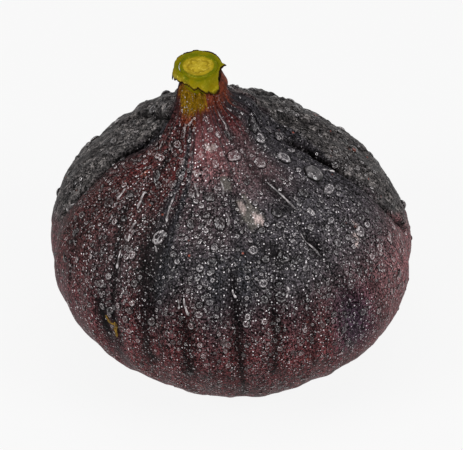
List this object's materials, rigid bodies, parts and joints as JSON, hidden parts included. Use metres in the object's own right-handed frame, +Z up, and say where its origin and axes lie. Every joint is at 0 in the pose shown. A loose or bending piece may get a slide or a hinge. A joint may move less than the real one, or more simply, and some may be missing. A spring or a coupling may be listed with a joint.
{
  "type": "fresh fig",
  "caption": "Whole fresh dark fig, squat and faintly ribbed, with a short leaning neck, a cut green stalk stub with a torn collar, and a flat eye end to stand on.",
  "frame": {"origin": "under the middle of the whole fig's box, on the surface that it rests on", "axes": "+Z up from the eye end to the stalk; the neck leans towards -X; +Y is the way the fig is seen along"},
  "size_m": [0.06, 0.0588, 0.0589],
  "materials": {
    "fig_skin": "dark purple-black skin, satin under a thin bloom, reddish towards the neck and base",
    "green_stalk": "fresh cut, moist yellow-green",
    "dry_scale": "dry, matte red-brown"
  },
  "bodies": {
    "root": {"fruit": "fig_skin", "cut_stem": "green_stalk", "eye_scales": "dry_scale"}
  },
  "joints": []
}
